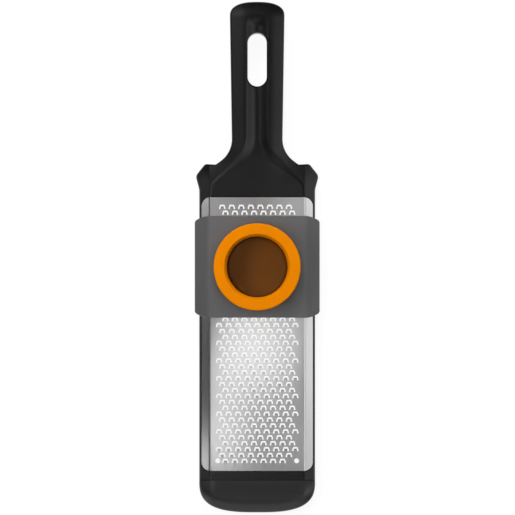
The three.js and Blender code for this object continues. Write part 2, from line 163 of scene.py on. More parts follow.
# Carriage
CARRIAGE_LOW, CARRIAGE_HIGH = node_box("slide_carriage")
CARRIAGE_Y = (CARRIAGE_LOW[1] + CARRIAGE_HIGH[1]) / 2
CARRIAGE_HALF_LENGTH = (CARRIAGE_HIGH[1] - CARRIAGE_LOW[1]) / 2
CARRIAGE_HALF = CARRIAGE_HIGH[0]
CARRIAGE_FLAT = 31.3
CARRIAGE_TOP = 19.5
CARRIAGE_INNER = 17.2
CARRIAGE_INNER_FLAT = DECK_HALF + 0.6
CARRIAGE_BOW = 3.0  # how far its ends draw in at the sides
BOW_POWER = 1.6
BOW_SLANT = 0.9
CARRIAGE_CORNER = 1.2
CARRIAGE_EDGE = 0.5
CARRIAGE_BEND = 1.6
CARRIAGE_INNER_BEND = 0.8
RAIL_ROOM = 0.45  # beside the rails
HOOK_LOW = CARRIAGE_LOW[2]
HOOK_TOP = RAIL_UNDER - 0.4
HOOK_REACH = 33.45
CHUTE_INNER = 23.2
CHUTE_OUTER = 25.2
CHUTE_TOP = CARRIAGE_HIGH[2]
CHUTE_FILLET = 0.8
KEY_HALF = 1.5
KEY_DEPTH = 1.1

# Pusher
RIM_TOP = node_box("pusher_collar")[1][2]
SKIRT_LOW = node_box("pusher_collar")[0][2]
SKIRT_INNER = 25.65
PUSHER_HALF = node_box("pusher_collar")[1][0]
COLLAR_SEAT = CHUTE_TOP + 0.3
RING_INNER_LOW = 18.9
RING_INNER_TOP = 20.6
STUD_LOW = node_box("pusher_plunger")[0][2]
STUD_HEIGHT = 1.0
STUD_ROOT = 1.0  # inside the cup's bottom
STUD_RADIUS = 1.2
STUD_EDGE = 0.4
PLUNGER_LOW = STUD_LOW + STUD_HEIGHT
PLUNGER_TOP = CHUTE_TOP + 0.15
PISTON_HALF = 22.8
PISTON_TOP = PLUNGER_LOW + 4
CUP_OUTER_LOW = 20.3
CUP_OUTER_TOP = 20.9
WELL_HALF_TOP = 19.3
WELL_HALF_LOW = 18.7
WELL_FLOOR = PLUNGER_LOW + 2.4
PAST_AXIS = -5
NOTCH_HALF = 1.9
NOTCH_INNER = 21.3
NOTCH_HEIGHT = 4.5

# Grating plate
SHEET = 0.5
SHEET_BEND = 0.5
TOOTH_PITCH = 6.0
ROW_PITCH = 3.723
ROW_INSET = 5.9  # of the first row from the plate's upper end
ROWS = 44
FIELD_HALF = 24.0
TOOTH_LIFT = 0.1
TOOTH_LOW = -1.42  # a tooth's lower end and its tongue's tip, from its middle
TONGUE_TIP = 0.27
TONGUE_HALF = 1.15
PEG_HOLE = 24.85
PEG_RADIUS = 1.55
PEG_ROOM = 3.9  # the last row has no tooth closer to a peg hole


# Shapes as signed fields: negative inside


def round_and(a, b, radius):
    """Where both fields are inside, with the edge between them rounded."""
    past_a = np.maximum(a + radius, 0)
    past_b = np.maximum(b + radius, 0)
    return np.minimum(np.maximum(a, b), -radius) + np.hypot(past_a, past_b)


def round_or(a, b, radius):
    """Where either field is inside, with the corner between them filleted."""
    return -round_and(-a, -b, radius)


def soft_and(a, b, width):
    """Like round_and, for planes that meet at a flat angle."""
    near = np.maximum(width - np.abs(a - b), 0)
    return np.maximum(a, b) + near * near / (4 * width)


def less(a, b):
    """a with b cut out of it."""
    return np.maximum(a, -b)


def step(t):
    """Smooth step from 0 to 1."""
    t = np.clip(t, 0, 1)
    return t * t * (3 - 2 * t)


def over(stretch, y):
    """Smooth step from 0 to 1 over a stretch along Y."""
    start, end = stretch
    return step((y - start) / (end - start))


def mix(a, b, t):
    """a where t is 0 and b where it is 1."""
    return a + (b - a) * t


def ramp(t, width):
    """0 below zero and t above it, with a soft bend of that width."""
    return (t + np.sqrt(t * t + width * width)) / 2


def hollow(inward, width):
    """0 outside the edge of a hollow and 1 on its floor, through a wall that is steep near the edge."""
    t = np.clip(inward / width, 0, 1)
    return 1 - (1 - t ** WALL_POWER) ** 2


def rounded(corners, steps=12, closed=False):
    """Points of an outline given as (x, y, radius) corners, each turned through an arc."""
    count = len(corners)
    points = []
    for i, (x, y, radius) in enumerate(corners):
        here = np.array([x, y], float)
        if radius == 0 or (not closed and i in (0, count - 1)):
            points.append(here)
            continue
        back = np.array(corners[i - 1][:2]) - here
        ahead = np.array(corners[(i + 1) % count][:2]) - here
        back = back / np.linalg.norm(back)
        ahead = ahead / np.linalg.norm(ahead)
        half = math.acos(np.clip(np.dot(back, ahead), -1, 1)) / 2
        reach = radius / math.tan(half)
        middle = here + (back + ahead) / np.linalg.norm(back + ahead) * radius / math.sin(half)
        first = here + back * reach - middle
        last = here + ahead * reach - middle
        turn = math.pi - 2 * half
        for k in range(steps + 1):
            t = k / steps
            arm = (math.sin((1 - t) * turn) * first + math.sin(t * turn) * last) / math.sin(turn)
            points.append(middle + arm)
    return np.array(points)


def superellipse(half, length, power, start_y, steps):
    """A quarter of a superellipse, from beside its widest point to its end on the axis."""
    turn = np.linspace(0, math.pi / 2, steps + 1)[1:]
    across = half * np.cos(turn).clip(0) ** (2 / power)
    along = start_y + length * np.sin(turn) ** (2 / power)
    return np.stack([across, along], 1)


def outline_field(points, x, y, closed=False):
    """Distance to an outline. An open one runs upwards, and its inside lies left of it."""
    x, y = np.broadcast_arrays(np.asarray(x, float), np.asarray(y, float))
    nearest = np.full(x.shape, np.inf)
    inside = np.zeros(x.shape, bool)
    far_left = -1e3
    ends = points
    if not closed:
        ends = np.vstack([points, [[far_left, points[-1][1]], [far_left, points[0][1]]]])
    for i in range(len(ends)):
        ax, ay = ends[i - 1]
        bx, by = ends[i]
        if closed or 0 < i < len(points):
            ex, ey = bx - ax, by - ay
            t = ((x - ax) * ex + (y - ay) * ey) / max(ex * ex + ey * ey, 1e-12)
            t = np.clip(t, 0, 1)
            nearest = np.minimum(nearest, (x - ax - t * ex) ** 2 + (y - ay - t * ey) ** 2)
        if ay != by:
            crosses = (ay > y) != (by > y)
            inside ^= crosses & (x < ax + (y - ay) / (by - ay) * (bx - ax))
    return np.where(inside, -1, 1) * np.sqrt(nearest)


# Meshes


def mesh_object(name, points, faces, normals=None):
    """A smooth mesh object from points in millimetres. Given normals make its shading follow them."""
    mesh = bpy.data.meshes.new(name)
    mesh.from_pydata((np.asarray(points) * MM).tolist(), [], faces)
    mesh.polygons.foreach_set("use_smooth", [True] * len(mesh.polygons))
    if normals is not None:
        mesh.normals_split_custom_set_from_vertices(normals.tolist())
    obj = bpy.data.objects.new(name, mesh)
    bpy.context.scene.collection.objects.link(obj)
    return obj


def sharpen(obj, degrees):
    """Edges sharper than this angle are shaded sharp."""
    obj.data.set_sharp_from_angle(angle=math.radians(degrees))
    return obj


def spaced(*stretches):
    """Grid lines from (start, end, spacing) stretches that follow on from each other."""
    lines = []
    for start, end, spacing in stretches:
        count = max(1, round((end - start) / spacing))
        lines.extend(np.linspace(start, end, count + 1)[:-1])
    return np.array(lines + [stretches[-1][1]])


def both_sides(lines):
    """Grid lines for the right half and their mirror."""
    return np.concatenate([-lines[::-1], lines[lines > 0]])


def level_mesh(name, field, xs, ys, zs):
    """The surface where a field is zero: one point in each grid cell that it passes through.

    Each grid edge that the surface crosses gives a quad between the four cells around it.
    """
    grids = (xs, ys, zs)
    value = field(xs[:, None, None], ys[None, :, None], zs[None, None, :])
    value = np.broadcast_to(value, tuple(len(g) for g in grids))
    inside = value < 0
    cells = np.array([len(g) - 1 for g in grids])
    total = np.zeros((cells.prod(), 3))
    hits = np.zeros(cells.prod())
    quads = []
    for axis in range(3):
        low = [slice(None)] * 3
        high = [slice(None)] * 3
        low[axis] = slice(None, -1)
        high[axis] = slice(1, None)
        start = inside[tuple(low)]
        edges = np.argwhere(start != inside[tuple(high)])
        across = [(axis + 1) % 3, (axis + 2) % 3]
        kept = np.all([(edges[:, a] > 0) & (edges[:, a] < cells[a]) for a in across], axis=0)
        edges = edges[kept]
        ahead = edges.copy()
        ahead[:, axis] += 1
        v0 = value[tuple(edges.T)]
        v1 = value[tuple(ahead.T)]
        point = np.stack([g[edges[:, i]] for i, g in enumerate(grids)], 1)
        reach = grids[axis][ahead[:, axis]] - grids[axis][edges[:, axis]]
        point[:, axis] += v0 / (v0 - v1) * reach
        ring = []
        for du, dv in ((1, 1), (0, 1), (0, 0), (1, 0)):
            cell = edges.copy()
            cell[:, across[0]] -= du
            cell[:, across[1]] -= dv
            flat = np.ravel_multi_index(tuple(cell.T), tuple(cells))
            ring.append(flat)
            hits += np.bincount(flat, minlength=len(hits))
            for i in range(3):
                total[:, i] += np.bincount(flat, weights=point[:, i], minlength=len(hits))
        ring = np.stack(ring, 1)
        outward = start[tuple(edges.T)]
        quads.append(np.where(outward[:, None], ring, ring[:, ::-1]))
    used = hits > 0
    number = np.cumsum(used) - 1
    points = total[used] / hits[used, None]
    points, normals = settle(field, points)
    return mesh_object(name, points, number[np.vstack(quads)].tolist(), normals)


def settle(field, points, rounds=4, probe=0.02, longest=0.3):
    """Moves points onto a field's zero level, and gives the level's normals there."""
    offsets = np.array([[1, 1, 1], [1, -1, -1], [-1, 1, -1], [-1, -1, 1]], float)
    for turn in range(rounds + 1):
        slope = np.zeros_like(points)
        for offset in offsets:
            slope += offset * field(*(points + offset * probe).T)[:, None]
        slope /= 4 * probe
        size = np.maximum(np.linalg.norm(slope, axis=1), 1e-6)
        if turn < rounds:
            move = np.clip(field(*points.T) / size, -longest, longest)
            points = points - (move / size)[:, None] * slope
    return points, slope / size[:, None]


def turned_mesh(name, profile, y, segments=144):
    """A closed profile of (radius, z) points turned about an upright axis."""
    angle = np.linspace(0, 2 * math.pi, segments, endpoint=False)
    radius, z = profile.T
    points = np.stack([
        np.outer(np.cos(angle), radius),
        y + np.outer(np.sin(angle), radius),
        np.broadcast_to(z, (segments, len(z))),
    ], 2).reshape(-1, 3)
    count = len(profile)
    i, j = np.meshgrid(np.arange(segments), np.arange(count), indexing="ij")
    this, after = i * count, (i + 1) % segments * count
    k = (j + 1) % count
    quads = np.stack([this + j, after + j, after + k, this + k], 2).reshape(-1, 4)
    return mesh_object(name, points, quads.tolist())


# Frame and handle. The outlines are the right halves, from the nose up

FRAME_OUTLINE = np.vstack([
    rounded([
        (RAIL_HALF, PAST_NOSE, 0), (RAIL_HALF, 42.8, 10), (38.9, 51.5, 4), (32.9, 59, 2.4),
        (26.3, 58.6, 0.8), (25.4, 59.1, 0.6), (15.85, 66.2, 17), (GRIP_HALF, GRIP_END, 0),
    ]),
    superellipse(GRIP_HALF, HANDLE_END - GRIP_END, END_POWER, GRIP_END, 20),
])
FUNNEL_OUTLINE = rounded([
    (FUNNEL_HALF, PAST_NOSE, 0), (FUNNEL_HALF, 46.4, 9), (GROOVE_HALF, 70.2, 16),
    (GROOVE_HALF, PAST_HANDLE, 0),
])


def flank_top(x):
    """Height of the flank beside the deck."""
    return RIDGE - FLANK_SLOPE * (np.hypot(np.maximum(x - DECK_HALF, 0), FLANK_BEND) - FLANK_BEND)


def frame_top(x, y):
    """Height of the upper face: flanks and the handle's crown, with the funnel and groove sunk in."""
    rise = END_RISE * (y - NECK) / (HANDLE_END - NECK)
    roll = END_CURVE / 2 * np.maximum(y - END_ROLL, 0) ** 2
    crown = HANDLE_TOP + rise - CROWN_SLOPE * ramp(x - CREST, CROWN_BEND) - roll
    outer = mix(flank_top(x), crown, over(FLANK_TO_CROWN, y))
    depth = GROOVE_DEPTH * (1 - over(GROOVE_FADES, y))
    bottom = mix(DECK, crown - depth, over(DECK_TO_GROOVE, y))
    wall = mix(STEP_WIDTH, GROOVE_HALF, over(FUNNEL_WALL_WIDENS, y))
    sunk = hollow(-outline_field(FUNNEL_OUTLINE, x, y), wall)
    return outer + (bottom - outer) * sunk


def underside(y):
    """Height of the underside, which rises under the handle."""
    return END_LIFT * np.maximum(y - COVER_LOW, 0) / (HANDLE_END - COVER_LOW)


def under_lip(x, z):
    """The space under the rails' lips, outside the legs."""
    return round_and(LEG_OUTER - x, z - RAIL_UNDER, LIP_FILLET)


def slot_field(x, y):
    """Plan of the hang slot."""
    middle = (SLOT_LOW + SLOT_HIGH) / 2
    straight = (SLOT_HIGH - SLOT_LOW) / 2 - SLOT_HALF
    return np.hypot(x, np.maximum(np.abs(y - middle) - straight, 0)) - SLOT_HALF


def plate_plan(x, y, grow):
    """Plan of the plate with its rounded corners, grown by a margin."""
    past_end = np.abs(y - PLATE_MIDDLE) - PLATE_HALF_LENGTH - grow
    return round_and(x - PLATE_HALF - grow, past_end, PLATE_CORNER + grow)


def cover_plan(x, y, margin):
    """Plan of the cover under the grip, drawn in by a margin."""
    plan = outline_field(FRAME_OUTLINE, x, y) + COVER_INSET + margin
    around_slot = SLOT_WALL + margin - slot_field(x, y)
    return np.maximum(np.maximum(plan, COVER_LOW + margin - y), around_slot)


def frame_field(x, y, z):
    """The frame's moulding, open under the deck, with the seats for the plate and the cover cut in."""
    x = np.abs(x)
    body = round_and(outline_field(FRAME_OUTLINE, x, y), (z - frame_top(x, y)) * SLANT, TOP_EDGE)
    body = round_and(body, underside(y) - z, FRAME_UNDER_EDGE)
    body = np.maximum(body, NOSE_JOINT + JOINT_GAP - y)
    body = round_and(body, -under_lip(x, z), LIP_EDGE)
    trough = round_and(x - LEG_INNER, z - DECK_UNDER, TROUGH_EDGE)
    trough = round_and(trough, y - TROUGH_END, TROUGH_EDGE)
    body = less(body, trough)
    window_half_length = PLATE_HALF_LENGTH - WINDOW_MARGIN
    past_window = np.abs(y - PLATE_MIDDLE) - window_half_length
    body = less(body, round_and(x - WINDOW_HALF, past_window, WINDOW_CORNER))
    seat = DECK + SEAT_RISE - FLANK_SLOPE * ramp(x - DECK_HALF + SEAT_INSET, SEAT_BEND)
    recess = np.maximum(plate_plan(x, y, SEAT_ROOM), (seat - z) * SLANT)
    body = round_and(body, -recess, SEAT_EDGE)
    body = round_and(body, -slot_field(x, y), SLOT_EDGE)
    rebate = np.maximum(cover_plan(x, y, 0), z - underside(y) - COVER_DEPTH)
    return less(body, rebate)


def cover_field(x, y, z):
    """The cover, flush in the grip's underside."""
    x = np.abs(x)
    low = underside(y)
    slab = np.maximum(low - z, z - low - COVER_DEPTH + SEAM)
    return round_and(cover_plan(x, y, SEAM), slab, COVER_EDGE)


# The grids are finest where edges and bends lie
frame_x = both_sides(spaced(
    (0, 4.5, 0.9), (4.5, 8.5, 0.36), (8.5, 14.4, 0.75), (14.4, 17.8, 0.38), (17.8, 25.8, 0.7),
    (25.8, 27.6, 0.5), (27.6, 29, 0.45), (29, 29.8, 0.4), (29.8, 30.2, 0.1), (30.2, 31.2, 0.4),
    (31.2, 32.6, 0.5), (32.6, 33.6, 0.33), (33.6, 34.8, 0.4), (34.8, 39, 0.28),
))
frame_y = spaced(
    (-141, -140.7, 0.3), (-140.7, -140.3, 0.1), (-140.3, -139.5, 0.4), (-139.5, -134.8, 0.6),
    (-134.8, -128, 0.38), (-128, 31, 3.2), (31, 39, 0.4), (39, 60, 0.46), (60, 75, 0.62),
    (75, 105, 2), (105, 117, 0.55), (117, 132, 1.6), (132, 155, 0.55), (155, 161.5, 0.36),
)
frame_z = spaced((-0.6, 3, 0.45), (3, 6.3, 0.8), (6.3, 8, 0.34), (8, 13, 0.5), (13, 21, 0.34))
frame_shell = level_mesh("frame_shell", frame_field, frame_x, frame_y, frame_z)

cover_x = both_sides(spaced((0, 6, 1), (6, 10, 0.45), (10, 13.5, 0.9), (13.5, 17, 0.4)))
cover_y = spaced(
    (60, 64, 0.5), (64, 103, 2), (103, 118, 0.5), (118, 131, 1.5), (131, 146, 0.5), (146, 161, 0.45),
)
cover_z = spaced((-0.5, 7.5, 0.33))
back_cover = level_mesh("back_cover", cover_field, cover_x, cover_y, cover_z)

# Nose

NOSE_CURVE = superellipse(RAIL_HALF, NOSE_JOINT - NOSE_TIP, NOSE_POWER, -NOSE_JOINT, 28) * [1, -1]
NOSE_OUTLINE = np.vstack([NOSE_CURVE[::-1], [[RAIL_HALF, NOSE_BACK], [0, NOSE_BACK]]])


def nose_top(x, y, plan):
    """Height of the nose's upper face, which falls away from the joint and is chamfered at its rim."""
    along = NOSE_JOINT - y
    outer = RIDGE - NOSE_FLANK * ramp(x - DECK_HALF, NOSE_BEND)
    sunk = (outer - DECK) * hollow(FUNNEL_HALF - x, NOSE_STEP) * (1 - step(along / NOSE_DISH))
    chamfer = CHAMFER_SLOPE * ramp(plan + NOSE_CHAMFER, CHAMFER_BEND) * step(along / CHAMFER_GROWS)
    return outer - sunk - NOSE_SLOPE * along - chamfer


def nose_field(x, y, z):
    """The end piece beyond the joint, with a pocket for the pad."""
    x = np.abs(x)
    plan = outline_field(NOSE_OUTLINE, x, y)
    body = round_and(plan, (z - nose_top(x, y, plan)) * SLANT, TOP_EDGE)
    body = round_and(body, -z, NOSE_UNDER_EDGE)
    body = np.maximum(body, y - NOSE_JOINT)
    body = round_and(body, -under_lip(x, z), LIP_EDGE)
    pocket = np.maximum(plan + FOOT_INSET, z - FOOT_HEIGHT - SEAM)
    return less(body, pocket)


def foot_field(x, y, z):
    """The pad under the nose, with grooves across its tread."""
    x = np.abs(x)
    plan = outline_field(NOSE_OUTLINE, x, y) + FOOT_INSET + SEAM
    wave = np.cos(y * 2 * math.pi / TREAD_PITCH)
    tread = TREAD_DEPTH * step(TREAD_STEEPNESS * wave - TREAD_SHIFT)
    pad = np.maximum(z - FOOT_HEIGHT, (tread - z) * SLANT)
    return round_and(np.maximum(plan, y - NOSE_JOINT + FOOT_BACK), pad, FOOT_EDGE)


nose_x = both_sides(spaced((0, 27, 1.1), (27, 39, 0.4)))
nose_y = spaced(
    (-161.5, -155, 0.36), (-155, -140.9, 0.55), (-140.9, -140.3, 0.1), (-140.3, -140, 0.3),
)
nose_z = spaced((-0.5, 2, 0.5), (2, 6.3, 0.8), (6.3, 8, 0.34), (8, 17, 0.34))
nose_shell = level_mesh("nose_shell", nose_field, nose_x, nose_y, nose_z)

foot_x = both_sides(spaced((0, 24, 1.5), (24, 33, 0.5)))
foot_y = spaced((-158, -140, 0.4))
foot_z = spaced((-0.4, 4.6, 0.32))
nose_pad = level_mesh("nose_pad", foot_field, foot_x, foot_y, foot_z)

# Carriage


def beyond_flank(x, z, edge, top):
    """Distance beyond a flank that falls away from an edge at this height."""
    return (x - edge) * math.sin(FLANK) + (z - top) * math.cos(FLANK)


def guard_field(x, y, z):
    """The carriage: roof and flanks over the rails, hooks under them, and the chute with its two keys."""
    x = np.abs(x)
    along = np.abs(y - CARRIAGE_Y)
    down_flank = np.clip((x - CARRIAGE_FLAT) / (CARRIAGE_HALF - CARRIAGE_FLAT), 0, 2)
    bow = CARRIAGE_BOW * down_flank ** BOW_POWER
    past_end = (along - CARRIAGE_HALF_LENGTH + bow) * BOW_SLANT
    plan = round_and(x - CARRIAGE_HALF, past_end, CARRIAGE_CORNER)
    flank = beyond_flank(x, z, CARRIAGE_FLAT, CARRIAGE_TOP)
    roof = soft_and(z - CARRIAGE_TOP, flank, CARRIAGE_BEND)
    body = round_and(plan, roof, CARRIAGE_EDGE)
    body = round_and(body, HOOK_LOW - z, CARRIAGE_EDGE)
    inner_flank = beyond_flank(x, z, CARRIAGE_INNER_FLAT, CARRIAGE_INNER)
    channel = soft_and(z - CARRIAGE_INNER, inner_flank, CARRIAGE_INNER_BEND)
    channel = np.maximum(channel, x - RAIL_HALF - RAIL_ROOM)
    hook = np.maximum(HOOK_REACH - x, z - HOOK_TOP)
    body = less(body, less(channel, hook))
    radius = np.hypot(x, y - CARRIAGE_Y)
    tube = round_and(radius - CHUTE_OUTER, z - CHUTE_TOP, CARRIAGE_EDGE)
    tube = np.maximum(tube, CARRIAGE_INNER - z)
    body = round_or(body, tube, CHUTE_FILLET)
    key = np.maximum(along - KEY_HALF, CHUTE_INNER - KEY_DEPTH - x)
    key = np.maximum(key, CARRIAGE_INNER - z)
    bore = less(radius - CHUTE_INNER, key)
    return less(body, bore)


guard_x = both_sides(spaced(
    (0, 20, 0.75), (20, 26, 0.55), (26, 29, 0.75), (29, 34, 0.45), (34, 36.6, 0.5), (36.6, 40, 0.34),
))
guard_y = CARRIAGE_Y + both_sides(spaced((0, 20, 0.75), (20, 26.5, 0.55), (26.5, 32.6, 0.45)))
guard_z = spaced((3.8, 8, 0.4), (8, 12, 0.6), (12, 21.5, 0.36), (21.5, 45, 2.4), (45, 47.2, 0.36))
guard = level_mesh("guard", guard_field, guard_x, guard_y, guard_z)

# Pusher. The profiles are (radius, z, corner radius)

COLLAR_PROFILE = rounded([
    (RING_INNER_LOW, COLLAR_SEAT, 0.1), (SKIRT_INNER, COLLAR_SEAT, 0.4), (SKIRT_INNER, SKIRT_LOW, 0.3),
    (PUSHER_HALF, SKIRT_LOW, 0.5), (PUSHER_HALF, RIM_TOP, 0.9), (RING_INNER_TOP, RIM_TOP, 0.4),
], 6, closed=True)
collar = sharpen(turned_mesh("collar", COLLAR_PROFILE, CARRIAGE_Y), 50)

PLUNGER_PROFILE = rounded([
    (PAST_AXIS, PLUNGER_LOW, 0), (PISTON_HALF, PLUNGER_LOW, 0.7), (PISTON_HALF, PISTON_TOP, 0.5),
    (CUP_OUTER_LOW, PISTON_TOP, 0.8), (CUP_OUTER_TOP, PLUNGER_TOP, 0.2),
    (WELL_HALF_TOP, PLUNGER_TOP, 0.1), (WELL_HALF_LOW, WELL_FLOOR, 2.2), (PAST_AXIS, WELL_FLOOR, 0),
], 5, closed=True)

# Rings of studs, as (radius, count)
STUD_RINGS = ((0, 1), (8, 6), (16, 12))


def plunger_field(x, y, z):
    """The cup, notched for the chute's keys, with studs under it."""
    y = y - CARRIAGE_Y
    radius = np.hypot(x, y)
    angle = np.arctan2(y, x)
    cup = outline_field(PLUNGER_PROFILE, radius, z, closed=True)
    notch = np.maximum(np.abs(y) - NOTCH_HALF, NOTCH_INNER - np.abs(x))
    notch = np.maximum(notch, z - PLUNGER_LOW - NOTCH_HEIGHT)
    cup = less(cup, notch)
    for ring, count in STUD_RINGS:
        sector = 2 * math.pi / count
        turn = angle - (np.floor(angle / sector) + 0.5) * sector
        off = np.hypot(radius * np.cos(turn) - ring, radius * np.sin(turn)) if ring else radius
        height = np.maximum(STUD_LOW - z, z - PLUNGER_LOW - STUD_ROOT)
        cup = np.minimum(cup, round_and(off - STUD_RADIUS, height, STUD_EDGE))
    return cup


plunger_xy = both_sides(spaced((0, 23.4, 0.6)))
plunger_z = spaced((16.6, 24, 0.4), (24, 44, 1.6), (44, 47.4, 0.4))
plunger = level_mesh("plunger", plunger_field, plunger_xy, CARRIAGE_Y + plunger_xy, plunger_z)

# Grating plate. A slit is an arch around a tongue, which rises from its root to its tip

RIGHT_SLIT = [
    (0.78, TONGUE_TIP, 0.32), (1.05, -0.25, 0.5), (1.07, TOOTH_LOW, 0.12), (2.06, TOOTH_LOW, 0.15),
    (1.99, -0.45, 0.7), (1.64, 0.35, 1.0), (1.42, 1.27, 0.6),
]
LEFT_SLIT = [(-x, y, radius) for x, y, radius in RIGHT_SLIT[::-1]]
SLIT = rounded(RIGHT_SLIT + LEFT_SLIT, 3, closed=True)
TONGUE = np.array([(-0.5, TOOTH_LOW), (0.0, TOOTH_LOW), (0.5, TOOTH_LOW), (0, -0.8), (0, -0.2)])
SLIT_REACH = (2.0, 1.6)
PEG_SIDES = 24
RIM_SPACING = 1.75
RIM_ROOM = 0.2

# Extra points where the flanges bend
BEND_LINES = (28.6, 29.2, 29.6, 30, 30.4, 30.8, 31.4, 33.2)
BEND_START = 0.6
BEND_SPACING = 3.0


def tooth_places():
    """Middles of the teeth. Each row stands a third of the pitch further across than the one above."""
    places = []
    for row in range(ROWS):
        y = PLATE_HIGH - ROW_INSET - row * ROW_PITCH
        shift = (row + 1) % 3 * TOOTH_PITCH / 3
        for x in np.arange(shift - FIELD_HALF, FIELD_HALF + 0.1, TOOTH_PITCH):
            beside_hole = row == ROWS - 1 and PEG_HOLE - abs(x) < PEG_ROOM
            if not beside_hole:
                places.append((x, y))
    return np.array(places)


def tooth_lift(x, y):
    """Rise of a tooth's tongue towards its tip, for points measured from the tooth's middle."""
    along = np.clip((y - TOOTH_LOW) / (TONGUE_TIP - TOOTH_LOW), 0, 1.2)
    on_tongue = (np.abs(x) < TONGUE_HALF) & (y < TONGUE_TIP + 0.05)
    return np.where(on_tongue, TOOTH_LIFT * along, 0)


def sheet_top(x):
    """Height of the sheet with its bent flanges."""
    return PLATE_TOP - FLANK_SLOPE * ramp(np.abs(x) - DECK_HALF, SHEET_BEND)


def subdivided(loop, longest):
    """A closed loop with points added until no side is longer than this."""
    points = []
    for i, start in enumerate(loop):
        end = loop[(i + 1) % len(loop)]
        count = math.ceil(np.linalg.norm(end - start) / longest)
        points.extend(start + (end - start) * k / count for k in range(count))
    return np.array(points)


def plate_points(places, last_row):
    """Points of the plate in plan with their lifts, and the edges of its rim, slits and peg holes."""
    points = []
    edges = []
    lifts = []

    def add(new_points, lift, closed):
        first, count = len(points), len(new_points)
        if closed:
            edges.extend((first + i, first + (i + 1) % count) for i in range(count))
        points.extend(map(tuple, new_points))
        lifts.extend(lift)

    corners = [
        (-PLATE_HALF, PLATE_LOW), (PLATE_HALF, PLATE_LOW), (PLATE_HALF, PLATE_HIGH),
        (-PLATE_HALF, PLATE_HIGH),
    ]
    rim = rounded([(x, y, PLATE_CORNER) for x, y in corners], 8, closed=True)
    rim = subdivided(rim, RIM_SPACING)
    add(rim, np.zeros(len(rim)), True)
    for x, y in places:
        add(SLIT + (x, y), tooth_lift(*SLIT.T), True)
        add(TONGUE + (x, y), tooth_lift(*TONGUE.T), False)
    angle = np.linspace(0, 2 * math.pi, PEG_SIDES, endpoint=False)
    circle = PEG_RADIUS * np.stack([np.cos(angle), np.sin(angle)], 1)
    for side in (-1, 1):
        add(circle + (side * PEG_HOLE, last_row), np.zeros(len(circle)), True)
    along = np.arange(BEND_START - PLATE_HALF_LENGTH, PLATE_HALF_LENGTH, BEND_SPACING)
    for x in BEND_LINES:
        for y in PLATE_MIDDLE + along:
            if plate_plan(x, y, 0) < -RIM_ROOM:
                add([(-x, y), (x, y)], [0, 0], False)
    return points, edges, lifts


def open_places(middles, places, last_row):
    """Which face middles lie outside the plate, in a slit or in a peg hole."""
    across = np.abs(middles[:, 0])
    outside = plate_plan(across, middles[:, 1], 0) > 0
    for place in places:
        near = np.flatnonzero(np.all(np.abs(middles - place) < SLIT_REACH, axis=1))
        local = middles[near] - place
        outside[near] |= outline_field(SLIT, *local.T, closed=True) < 0
    in_hole = np.hypot(across - PEG_HOLE, middles[:, 1] - last_row) < PEG_RADIUS - 0.05
    return outside | in_hole


def sheet_mesh(name, top, faces, thickness):
    """A sheet of this thickness under a triangulated upper face, with walls along its borders."""
    count = len(top)
    sides = np.concatenate([faces[:, [0, 1]], faces[:, [1, 2]], faces[:, [2, 0]]])
    key = np.sort(sides, 1) @ [count, 1]
    _, first, uses = np.unique(key, return_index=True, return_counts=True)
    start, end = sides[first[uses == 1]].T
    walls = np.column_stack([end, start, start + count, end + count])
    under = faces[:, ::-1] + count
    all_faces = faces.tolist() + under.tolist() + walls.tolist()
    return mesh_object(name, np.vstack([top, top - (0, 0, thickness)]), all_faces)


def plate_mesh(name):
    """The sheet, triangulated in plan around its slits and holes and then raised to its heights."""
    places = tooth_places()
    last_row = places[:, 1].min()
    points, edges, lifts = plate_points(places, last_row)
    flat, _, faces, origin, _, _ = delaunay_2d_cdt([Vector(p) for p in points], edges, [], 0, 1e-5)
    flat = np.array([tuple(p) for p in flat])
    faces = np.array(faces)
    faces = faces[~open_places(flat[faces].mean(1), places, last_row)]
    lift = np.array([lifts[o[0]] if o else 0.0 for o in origin])
    top = np.column_stack([flat, sheet_top(flat[:, 0]) + lift])
    return sharpen(sheet_mesh(name, top, faces, SHEET), 25)


plate = plate_mesh("steel_plate")

# Materials

GLOSS_DRIFT = 0.03
COLOUR_DRIFT = 0.04
STEEL_ROUGH = (0.28, 0.34)
STEEL_GRAIN = (2600, 90, 2600)
STEEL_TONE = 0.72
# Painted shade: the tongues' raised tips are coloured darker than the sheet.
TIP_SHADED_TONE = 0.66


def material(name):
    """A new material with its node tree and its shader."""
    made = bpy.data.materials.new(name)
    made.use_nodes = True
    tree = made.node_tree
    return made, tree, tree.nodes["Principled BSDF"]


def node(tree, kind, **values):
    """A new node with these input values."""
    made = tree.nodes.new(kind)
    for key, value in values.items():
        made.inputs[key.replace("_", " ")].default_value = value
    return made


def noise_range(tree, noise, low, high):
    """A noise's middle stretch turned into values from low to high."""
    made = node(tree, "ShaderNodeMapRange", From_Min=0.3, From_Max=0.7, To_Min=low, To_Max=high)
    tree.links.new(noise.outputs["Fac"], made.inputs["Value"])
    return made.outputs["Result"]


def grain_bump(tree, noise, surface, strength, height):
    """A noise as fine grain in the surface, by its height in millimetres."""
    bump = node(tree, "ShaderNodeBump", Strength=strength, Distance=height * MM)
    tree.links.new(noise.outputs["Fac"], bump.inputs["Height"])
    tree.links.new(bump.outputs["Normal"], surface.inputs["Normal"])


